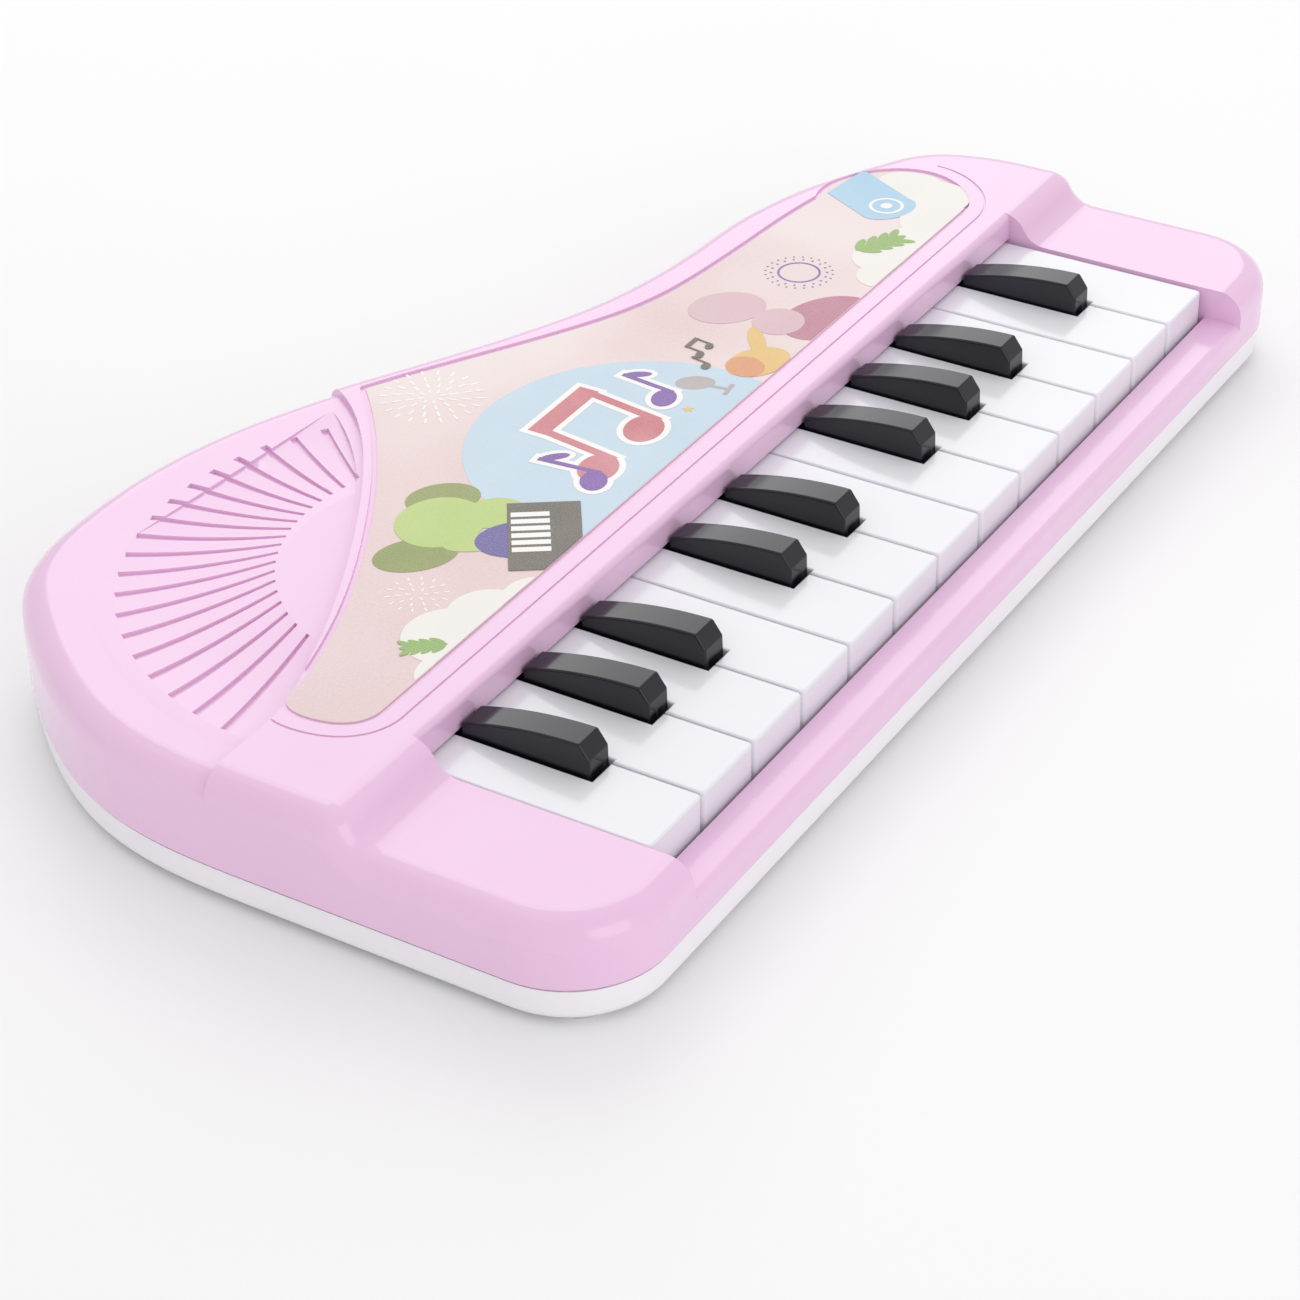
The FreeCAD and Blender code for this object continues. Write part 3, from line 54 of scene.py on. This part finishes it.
class Finish:
    """A material under construction: one shader and the textures that feed it."""

    def __init__(self, name, roughness, specular=0.5, metallic=0.0, coat=0.0, coat_roughness=0.1):
        self.material = bpy.data.materials.new(name)
        self.material.use_nodes = True
        self.tree = self.material.node_tree
        self.shader = self.tree.nodes["Principled BSDF"]
        self.shader.inputs["Roughness"].default_value = roughness
        self.shader.inputs["Specular IOR Level"].default_value = specular
        self.shader.inputs["Metallic"].default_value = metallic
        self.shader.inputs["Coat Weight"].default_value = coat
        self.shader.inputs["Coat Roughness"].default_value = coat_roughness
        self.place = self.node("ShaderNodeTexCoord").outputs["Object"]

    def node(self, kind, **settings):
        item = self.tree.nodes.new(kind)
        for key, value in settings.items():
            setattr(item, key, value)
        return item

    def link(self, source, target):
        self.tree.links.new(source, target)

    def noise(self, scale, detail=3.0, roughness=0.5, stretch=None):
        item = self.node("ShaderNodeTexNoise")
        item.inputs["Scale"].default_value = scale
        item.inputs["Detail"].default_value = detail
        item.inputs["Roughness"].default_value = roughness
        source = self.place
        if stretch is not None:
            mapping = self.node("ShaderNodeMapping")
            mapping.inputs["Scale"].default_value = stretch
            self.link(self.place, mapping.inputs["Vector"])
            source = mapping.outputs["Vector"]
        self.link(source, item.inputs["Vector"])
        return item.outputs["Fac"]

    def ramp(self, source, stops):
        item = self.node("ShaderNodeValToRGB")
        ramp = item.color_ramp
        ramp.elements[0].position, ramp.elements[0].color = stops[0]
        ramp.elements[1].position, ramp.elements[1].color = stops[-1]
        for position, colour in stops[1:-1]:
            ramp.elements.new(position).color = colour
        self.link(source, item.inputs["Fac"])
        return item.outputs["Color"]

    def colour(self, source, stops):
        self.link(self.ramp(source, stops), self.shader.inputs["Base Color"])

    def blend(self, factor, first, second):
        item = self.node("ShaderNodeMix", data_type="RGBA")
        self.link(factor, item.inputs["Factor"])
        for socket, value in ((item.inputs[6], first), (item.inputs[7], second)):
            if isinstance(value, tuple):
                socket.default_value = value
            else:
                self.link(value, socket)
        return item.outputs[2]

    def span(self, source, low, high, to_low=0.0, to_high=1.0):
        item = self.node("ShaderNodeMapRange")
        for name, value in (("From Min", low), ("From Max", high), ("To Min", to_low), ("To Max", to_high)):
            item.inputs[name].default_value = value
        self.link(source, item.inputs["Value"])
        return item.outputs["Result"]

    def vary_roughness(self, source, low, high):
        self.link(self.span(source, 0.3, 0.7, low, high), self.shader.inputs["Roughness"])

    def relief(self, source, strength, distance):
        item = self.node("ShaderNodeBump")
        item.inputs["Strength"].default_value = strength
        item.inputs["Distance"].default_value = distance
        self.link(source, item.inputs["Height"])
        self.link(item.outputs["Normal"], self.shader.inputs["Normal"])

    def axis(self, name):
        item = self.node("ShaderNodeSeparateXYZ")
        self.link(self.place, item.inputs["Vector"])
        return item.outputs[name]


def moulded(name, shade, light, roughness, grain=900.0, relief=0.05, flow=14.0, coat=0.0, spread=0.06):
    """Injection-moulded plastic: slow flow marks in its colour, fine grain in its surface."""
    finish = Finish(name, roughness, coat=coat, coat_roughness=0.06)
    finish.colour(finish.noise(flow, 4.0, 0.55), [(0.3, shade), (0.7, light)])
    finish.vary_roughness(finish.noise(flow * 5, 3.0), roughness - spread / 2, roughness + spread / 2)
    finish.relief(finish.noise(grain, 2.0), relief, 0.00004)
    return finish


def metal(name, shade, light, roughness, stretch=(1, 1, 1), scale=400.0):
    finish = Finish(name, roughness, metallic=1.0)
    finish.colour(finish.noise(60.0, 3.0), [(0.3, shade), (0.7, light)])
    brushed = finish.noise(scale, 4.0, 0.6, stretch)
    finish.vary_roughness(brushed, roughness - 0.08, roughness + 0.12)
    finish.relief(brushed, 0.15, 0.00003)
    return finish


def printed(name, shade, light, roughness=0.42):
    """Ink on the panel's film, with the fine dots of the print screen."""
    finish = Finish(name, roughness, specular=0.25)
    screen = finish.node("ShaderNodeTexVoronoi")
    screen.inputs["Scale"].default_value = 1500.0
    screen.inputs["Randomness"].default_value = 0.25
    finish.link(finish.place, screen.inputs["Vector"])
    wash = finish.ramp(finish.noise(45.0, 4.0, 0.6), [(0.3, shade), (0.7, light)])
    dots = finish.span(screen.outputs["Distance"], 0.15, 0.55, 0.0, 0.12)
    paper = srgb(255, 250, 244)
    finish.link(finish.blend(dots, wash, paper), finish.shader.inputs["Base Color"])
    finish.relief(finish.noise(2200.0, 2.0), 0.04, 0.00002)
    return finish


pink = moulded("pink_plastic", srgb(234, 193, 226), srgb(238, 198, 230), 0.17, coat=0.35, relief=0.02)
base_white = moulded("pale_base_plastic", srgb(240, 237, 242), srgb(246, 243, 248), 0.35, relief=0.06)
base_white.shader.inputs["Subsurface Weight"].default_value = 0.15
base_white.shader.inputs["Subsurface Radius"].default_value = (0.004, 0.003, 0.004)
key_white = moulded("white_key_plastic", srgb(232, 231, 237), srgb(236, 235, 241), 0.18, coat=0.2, relief=0.02)
key_black = moulded("black_key_plastic", srgb(8, 7, 20), srgb(13, 12, 28), 0.12, relief=0.04,
                    grain=900.0, spread=0.06)
rubber = moulded("foot_rubber_grip", srgb(206, 204, 210), srgb(220, 218, 224), 0.75, relief=0.25, grain=1200.0)
contact_rubber = moulded("silicone_rubber", srgb(188, 188, 190), srgb(205, 205, 206), 0.6, relief=0.1)
inner_plastic = moulded("frame_plastic", srgb(214, 213, 210), srgb(226, 225, 222), 0.5, relief=0.1)
socket_plastic = moulded("socket_plastic", srgb(226, 222, 208), srgb(236, 233, 221), 0.45)
dark_plastic = moulded("dark_plastic", srgb(30, 30, 32), srgb(44, 44, 47), 0.4, relief=0.1)
resin = moulded("chip_resin", srgb(14, 14, 15), srgb(24, 24, 26), 0.2, relief=0.3, grain=300.0)
board = moulded("board_lacquer", srgb(28, 96, 52), srgb(40, 116, 62), 0.35, relief=0.1, coat=0.3)
paper_cone = moulded("cone_pulp", srgb(26, 26, 27), srgb(48, 48, 50), 0.9, relief=0.6, grain=500.0)
ferrite = moulded("ferrite", srgb(52, 52, 55), srgb(72, 72, 76), 0.6, relief=0.3)
basket_paint = moulded("basket_paint", srgb(70, 70, 74), srgb(90, 90, 94), 0.4)
grey_lead = moulded("grey_insulation", srgb(120, 120, 126), srgb(140, 140, 146), 0.5)
red_lead = moulded("red_insulation", srgb(168, 28, 34), srgb(188, 40, 44), 0.5)
steel = metal("zinc_steel", srgb(168, 170, 174), srgb(196, 197, 200), 0.32)
nickel = metal("nickel_plate", srgb(190, 188, 182), srgb(212, 210, 205), 0.22)


def cell_wrap():
    """Printed sleeve of a cell: two plain bands of colour along its length."""
    finish = Finish("cell_sleeve", 0.3, coat=0.4)
    band = finish.span(finish.axis("X"), -0.0262, -0.0258)
    cap = finish.span(finish.axis("X"), -0.0120, -0.0116)
    body = finish.blend(band, srgb(54, 92, 128), srgb(206, 180, 120))
    both = finish.blend(cap, body, srgb(54, 92, 128))
    worn = finish.span(finish.noise(180.0, 4.0), 0.35, 0.75, 0.0, 0.18)
    finish.link(finish.blend(worn, both, srgb(200, 204, 208)), finish.shader.inputs["Base Color"])
    finish.relief(finish.noise(900.0, 2.0), 0.05, 0.00003)
    return finish


def panel_film():
    """The panel's ground: cream and dusty pink in soft clouds, pinker towards its ends, partly the print's own
    tint and partly painted shade along the panel's recessed edge.
    """
    finish = Finish("panel_film", 0.42, specular=0.25)
    wash = finish.ramp(finish.noise(16.0, 2.0, 0.4), [(0.35, srgb(228, 202, 202)), (0.65, srgb(239, 226, 224))])
    # towards both ends the ground is blended pinker: partly the print's own tint, partly painted shade from the
    # recess edge
    along = finish.axis("X")
    left = finish.span(along, -0.130, -0.072, 0.7, 0.0)
    right = finish.span(along, 0.100, 0.142, 0.0, 0.5)
    tinted_and_shaded = finish.blend(left, wash, srgb(224, 196, 198))
    tinted_and_shaded = finish.blend(right, tinted_and_shaded, srgb(226, 200, 200))
    grain = finish.span(finish.noise(1500.0, 1.0), 0.3, 0.7, 0.0, 0.22)
    finish.link(finish.blend(grain, tinted_and_shaded, srgb(248, 236, 234)), finish.shader.inputs["Base Color"])
    finish.relief(finish.noise(2200.0, 2.0), 0.04, 0.00002)
    return finish


finishes = {
    "top_shell": pink, "bottom_shell": base_white, "battery_door": base_white, "graphic_panel": panel_film(),
    "rubber_feet": rubber, "case_screws": steel, "door_screw": steel, "shelf_screws": steel,
    "sound_screws": steel, "speaker_screws": steel, "pivot_rod": steel, "switch_case": steel,
    "key_frame": inner_plastic, "contact_board": board, "sound_board": board,
    "rubber_contacts": contact_rubber, "speaker_basket": basket_paint, "speaker_magnet": ferrite,
    "speaker_cone": paper_cone, "sound_chip": resin, "lead_sockets": socket_plastic,
    "capacitors": dark_plastic, "switch_knob": dark_plastic, "battery_contacts": nickel,
    "battery_springs": nickel, "speaker_lead": grey_lead, "key_lead": grey_lead, "battery_lead": red_lead,
}
sleeve = cell_wrap()
for name in ("battery_cell_1", "battery_cell_2", "battery_cell_3"):
    finishes[name] = sleeve
for name in WHITE_KEYS:
    finishes[name] = key_white
for name in BLACK_KEYS:
    finishes[name] = key_black


def dress(obj, finish):
    obj.data.materials.clear()
    obj.data.materials.append(finish.material)


for name, finish in finishes.items():
    dress(nodes[name], finish)


# ------------------------------------------------------------- printed panel
def deselect():
    bpy.ops.object.select_all(action="DESELECT")


def flat(x, y, half_x, half_y, turn=0.0, sides=40):
    """A thin flat disc or ellipse of print, sizes in millimetres, turn in degrees."""
    deselect()
    bpy.ops.mesh.primitive_circle_add(vertices=sides, radius=MM, fill_type="NGON", location=(x * MM, y * MM, 0),
                                      rotation=(0, 0, math.radians(turn)))
    bpy.context.object.scale = (half_x, half_y, 1)
    return bpy.context.object


def bar(x, y, half_x, half_y, turn=0.0):
    deselect()
    bpy.ops.mesh.primitive_plane_add(size=2 * MM, location=(x * MM, y * MM, 0),
                                     rotation=(0, 0, math.radians(turn)))
    bpy.context.object.scale = (half_x, half_y, 1)
    return bpy.context.object


def star(x, y, radius, points=5, waist=0.45, turn=90.0):
    obj = flat(x, y, radius, radius, turn, points * 2)
    for number, vertex in enumerate(obj.data.vertices):
        if number % 2:
            vertex.co *= waist
    return obj


def ring(x, y, radius, width, sides=48):
    """A flat ring: the rim of a circle pulled inwards."""
    deselect()
    bpy.ops.mesh.primitive_circle_add(vertices=sides, radius=radius * MM, location=(x * MM, y * MM, 0))
    bpy.ops.object.mode_set(mode="EDIT")
    bpy.ops.mesh.select_all(action="SELECT")
    bpy.ops.mesh.extrude_edges_move()
    factor = 1 - width / radius
    bpy.ops.transform.resize(value=(factor, factor, 1))
    bpy.ops.object.mode_set(mode="OBJECT")
    return bpy.context.object


# a coat of ink, the rise from one ink layer to the next, and the small rises that keep the
# overlapping shapes of one layer apart
PANEL_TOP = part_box("graphic_panel")[1].z
INK = 0.00005
LAYER = 0.00003
STEP = 0.0000028
STEPS = 9
# a point on each trimming line and the way that the waste lies
FRONT_EDGE = ((0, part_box("graphic_panel")[0].y + 0.0001, 0), (0, -1, 0))
REAR_EDGE = ((0.116, 0.0202, 0), (0.11, 1, 0))


def ink_layer(name, finish, shapes, layer, edges=(FRONT_EDGE,)):
    """Join flat shapes, give them the thickness of a coat of ink and trim them at the panel's edges."""
    deselect()
    for number, obj in enumerate(shapes):
        obj.location.z = number % STEPS * STEP
        obj.select_set(True)
    bpy.context.view_layer.objects.active = shapes[0]
    bpy.ops.object.join()
    coat = bpy.context.object
    coat.name = name
    coat.data.name = name
    bpy.ops.object.transform_apply(location=True, rotation=True, scale=True)
    bpy.ops.object.mode_set(mode="EDIT")
    bpy.ops.mesh.select_all(action="SELECT")
    bpy.ops.mesh.normals_make_consistent(inside=False)
    bpy.ops.mesh.extrude_region_move(TRANSFORM_OT_translate={"value": (0, 0, INK)})
    bpy.ops.mesh.select_all(action="SELECT")
    bpy.ops.mesh.normals_make_consistent(inside=False)
    bpy.ops.transform.translate(value=(0, 0, PANEL_TOP + layer * LAYER - INK / 2))
    for point, outward in edges:
        bpy.ops.mesh.select_all(action="SELECT")
        bpy.ops.mesh.bisect(plane_co=point, plane_no=outward, use_fill=True, clear_outer=True)
    bpy.ops.object.mode_set(mode="OBJECT")
    dress(coat, finish)
    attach(coat, "case")
    return coat


def burst(x, y, rings, finish_width):
    """Rays of short dashes round a point: (radius, count, length) for each ring."""
    out = []
    for number, (radius, count, length) in enumerate(rings):
        for k in range(count):
            angle = 2 * math.pi * (k + 0.5 * (number % 2)) / count
            out.append(bar(x + radius * math.cos(angle), y + radius * math.sin(angle), length / 2,
                           finish_width / 2, math.degrees(angle)))
    return out


def leaf(x, y, length, turn):
    """A sprig: one oval stem with four pairs of oval leaflets."""
    out = [flat(x, y, length / 2, length / 9, turn, 20)]
    c, s = math.cos(math.radians(turn)), math.sin(math.radians(turn))
    for t in (-0.30, -0.08, 0.14, 0.36):
        for side in (-1, 1):
            reach = length * 0.15
            px = x + c * t * length - s * side * reach
            py = y + s * t * length + c * side * reach
            out.append(flat(px, py, length * 0.19, length * 0.07, turn + side * 38, 14))
    return out


def single_note(x, y, size, turn=0.0, grow=0.0):
    """A plain quaver: oval head, stem and flag."""
    c, s = math.cos(math.radians(turn)), math.sin(math.radians(turn))

    def at(u, v):
        return x + (c * u - s * v) * size, y + (s * u + c * v) * size

    head = flat(*at(0, 0), size * 0.30 + grow, size * 0.22 + grow, turn + 20, 24)
    stem = bar(*at(0.26, 0.55), size * 0.05 + grow, size * 0.55 + grow, turn)
    flag = flat(*at(0.42, 0.88), size * 0.24 + grow, size * 0.09 + grow, turn - 50, 20)
    return [head, stem, flag]


def beamed_notes(x, y, size, turn=0.0, grow=0.0):
    """Two note heads, their stems and the beam that joins them."""
    c, s = math.cos(math.radians(turn)), math.sin(math.radians(turn))

    def at(u, v):
        return x + (c * u - s * v) * size, y + (s * u + c * v) * size

    out = []
    for u, v in ((-0.42, -0.40), (0.36, -0.28)):
        out.append(flat(*at(u, v), size * 0.24 + grow, size * 0.18 + grow, turn + 20, 28))
        out.append(bar(*at(u + 0.20, v + 0.42), size * 0.045 + grow, size * 0.44 + grow, turn))
    out.append(bar(*at(0.165, 0.50), size * 0.45 + grow, size * 0.10 + grow, turn + 8.7))
    return out


ink = {
    "sky": printed("ink_sky_blue", srgb(192, 214, 230), srgb(200, 220, 234)),
    "cloud": printed("ink_cloud_cream", srgb(238, 234, 229), srgb(243, 239, 235)),
    "white": printed("ink_white", srgb(246, 243, 240), srgb(252, 249, 246)),
    "violet": printed("ink_violet", srgb(122, 84, 166), srgb(138, 98, 178)),
    "coral": printed("ink_coral", srgb(200, 108, 118), srgb(216, 146, 154)),
    "rose": printed("ink_rose", srgb(216, 182, 190), srgb(222, 190, 197)),
    "berry": printed("ink_berry", srgb(188, 120, 144), srgb(196, 132, 154)),
    "leaf": printed("ink_leaf_green", srgb(140, 176, 92), srgb(152, 186, 106)),
    "lime": printed("ink_lime_green", srgb(182, 206, 118), srgb(192, 212, 132)),
    "olive": printed("ink_olive", srgb(140, 152, 86), srgb(152, 162, 98)),
    "slate": printed("ink_slate", srgb(98, 92, 84), srgb(118, 110, 102)),
    "indigo": printed("ink_indigo", srgb(96, 86, 154), srgb(110, 100, 166)),
    "amber": printed("ink_amber", srgb(228, 188, 112), srgb(235, 197, 126)),
    "orange": printed("ink_orange", srgb(220, 150, 104), srgb(229, 164, 120)),
    "grey": printed("ink_grey", srgb(176, 168, 166), srgb(190, 182, 180)),
    "tag": printed("ink_tag_blue", srgb(166, 204, 230), srgb(176, 211, 234)),
}

# clouds, the half disc and the tag lie lowest
ink_layer("print_sky", ink["sky"], [flat(-13.7, -6.3, 40.3, 40.3, 0, 96)], 1)
left_cloud = [flat(-97.5, -11.5, 10.5, 10.5), flat(-86.5, -13.0, 9.0, 8.6), flat(-76.5, -16.5, 7.0, 5.5),
              flat(-108.5, -17.0, 7.0, 5.5)]
right_cloud = [flat(86.5, -13.0, 7.0, 6.0), flat(95.5, -9.5, 9.0, 8.5), flat(107.0, -13.0, 11.0, 8.0),
               flat(119.0, -10.5, 10.0, 8.5), flat(129.5, -5.0, 9.5, 9.0), flat(133.5, 3.5, 7.0, 9.0)]
ink_layer("print_clouds", ink["cloud"], left_cloud + right_cloud, 2)
ink_layer("print_tag", ink["tag"], [bar(124.5, 14.0, 7.6, 12.5, -27), flat(118.8, 2.6, 7.8, 5.6, -27)], 3,
          (REAR_EDGE,))

# plain hills and balls of colour stand where the panel is busiest
ink_layer("print_olive_hills", ink["olive"], [flat(-53.5, 20.5, 8.4, 6.2, -40),
                                              flat(-75.5, 12.6, 9.4, 6.4, -38)], 2)
ink_layer("print_lime_hills", ink["lime"], [flat(-62.0, 15.5, 10.5, 9.6), flat(-53.0, 7.5, 7.0, 6.0, -30),
                                            flat(-64.0, 3.2, 8.6, 3.6, -46)], 3)
ink_layer("print_indigo_disc", ink["indigo"], [flat(-58.5, -4.2, 11.0, 7.4, -50)], 4)
ink_layer("print_slate_block", ink["slate"], [bar(-55.3, -7.0, 13.6, 8.0, 34)], 5)
key_bars = [bar(-61.5 + 2.35 * n, -7.6 + 1.6 * n, 0.9, 4.2, 34) for n in range(6)]
ink_layer("print_key_bars", ink["white"], key_bars, 6)
ink_layer("print_rose_balls", ink["rose"], [flat(53.0, 11.0, 9.6, 7.6, -38), flat(53.0, -3.0, 6.6, 6.2)], 2)
ink_layer("print_berry_hill", ink["berry"], [flat(60.5, -12.5, 13.0, 9.5, -20)], 1)
ink_layer("print_amber_sun", ink["amber"], [flat(33.5, -8.6, 8.4, 6.0, -20), flat(42.0, -3.5, 7.0, 2.0, 38),
                                            star(6.4, -5.8, 1.5)], 3)
ink_layer("print_orange_sun", ink["orange"], [flat(30.0, -7.2, 5.0, 4.4, 60)], 4)

# the three big notes, each on a white border
ink_layer("print_note_border", ink["white"], beamed_notes(-14.0, 6.5, 25.0, -8, 1.5)
          + single_note(-31.0, -4.0, 14.0, 6, 1.4) + single_note(8.0, 1.5, 13.0, -6, 1.4), 3)
ink_layer("print_coral_notes", ink["coral"], beamed_notes(-14.0, 6.5, 25.0, -8), 5)
ink_layer("print_violet_notes", ink["violet"], single_note(-31.0, -4.0, 14.0, 6)
          + single_note(8.0, 1.5, 13.0, -6), 6)

# small marks
ink_layer("print_leaves", ink["leaf"], leaf(-103.5, -8.6, 10.0, 130) + leaf(100.8, -5.0, 15.0, -28), 4)
ink_layer("print_white_burst", ink["white"], burst(-17.6, 48.0, [(2.6, 8, 1.5), (5.2, 12, 2.0), (8.2, 16, 2.2),
                                                                (11.2, 20, 2.0)], 0.55)
          + burst(-88.0, 3.6, [(2.0, 6, 1.1), (4.0, 10, 1.2), (6.2, 14, 1.2)], 0.4), 1)
ink_layer("print_violet_ring", ink["violet"], [ring(77.4, 5.0, 5.3, 0.55)]
          + burst(77.4, 5.0, [(6.8, 18, 0.6), (8.2, 24, 0.5)], 0.4), 1)
ink_layer("print_small_notes", ink["slate"], beamed_notes(32.5, 6.8, 5.6, -8)
          + single_note(25.6, 0.8, 5.0, -10), 6)
ink_layer("print_microphone", ink["grey"], [flat(17.8, -1.0, 4.6, 3.0, -55), bar(18.6, -6.6, 2.6, 0.5, -80),
                                            bar(18.9, -9.2, 2.6, 0.5, 8)], 3)
ink_layer("print_tag_ring", ink["white"], [ring(119.6, 3.4, 4.4, 0.8), flat(119.6, 3.4, 1.5, 1.5)], 5)


# -------------------------------------------------------------- studio
def studio():
    deselect()
    bpy.ops.mesh.primitive_plane_add(size=6.0, location=(0, 0, -0.00005))
    floor = bpy.context.object
    floor.name = "floor"
    paint = Finish("floor_paint", 0.55, specular=0.3)
    paint.colour(paint.noise(3.0, 2.0), [(0.3, srgb(246, 246, 246)), (0.7, srgb(250, 250, 250))])
    dress(floor, paint)

    world = bpy.data.worlds.new("studio")
    world.use_nodes = True
    background = world.node_tree.nodes["Background"]
    background.inputs["Color"].default_value = (1, 1, 1, 1)
    background.inputs["Strength"].default_value = 0.80
    scene.world = world

    for name, place, size, power in (("rear_box", (1.07, 0.67, 0.99), 1.2, 5.5),
                                     ("overhead", (0.1, 0.3, 1.2), 1.1, 0.8),
                                     ("front_fill", (-0.5, -1.2, 0.6), 0.9, 3.0)):
        light = bpy.data.lights.new(name, "AREA")
        light.shape = "SQUARE"
        light.size = size
        light.energy = power
        lamp = bpy.data.objects.new(name, light)
        lamp.location = place
        lamp.rotation_euler = (Vector((0, 0, 0)) - Vector(place)).to_track_quat("-Z", "Y").to_euler()
        scene.collection.objects.link(lamp)


CAMERA_PLACE = (-0.56164, -0.34674, 0.40936)
CAMERA_TURN = 31.797
CAMERA_DROP = 33.797
CAMERA_ROLL = -1.0
CAMERA_LENS = 93.05


def camera():
    """A long lens, level but for one degree, from the front left."""
    turn, drop, roll = math.radians(CAMERA_TURN), math.radians(CAMERA_DROP), math.radians(CAMERA_ROLL)
    look = Vector((math.cos(drop) * math.cos(turn), math.cos(drop) * math.sin(turn), -math.sin(drop)))
    side = look.cross(Vector((0, 0, 1))).normalized()
    up = side.cross(look)
    right = side * math.cos(roll) + up * math.sin(roll)
    top = up * math.cos(roll) - side * math.sin(roll)
    data = bpy.data.cameras.new("camera")
    data.lens = CAMERA_LENS
    data.sensor_width = 36.0
    data.clip_start = 0.01
    obj = bpy.data.objects.new("camera", data)
    matrix = obj.matrix_world
    for row in range(3):
        matrix[row][0], matrix[row][1], matrix[row][2] = right[row], top[row], -look[row]
    matrix[0][3], matrix[1][3], matrix[2][3] = CAMERA_PLACE
    obj.matrix_world = matrix
    scene.collection.objects.link(obj)
    scene.camera = obj


studio()
camera()
scene.view_settings.view_transform = "Standard"

bpy.context.view_layer.update()
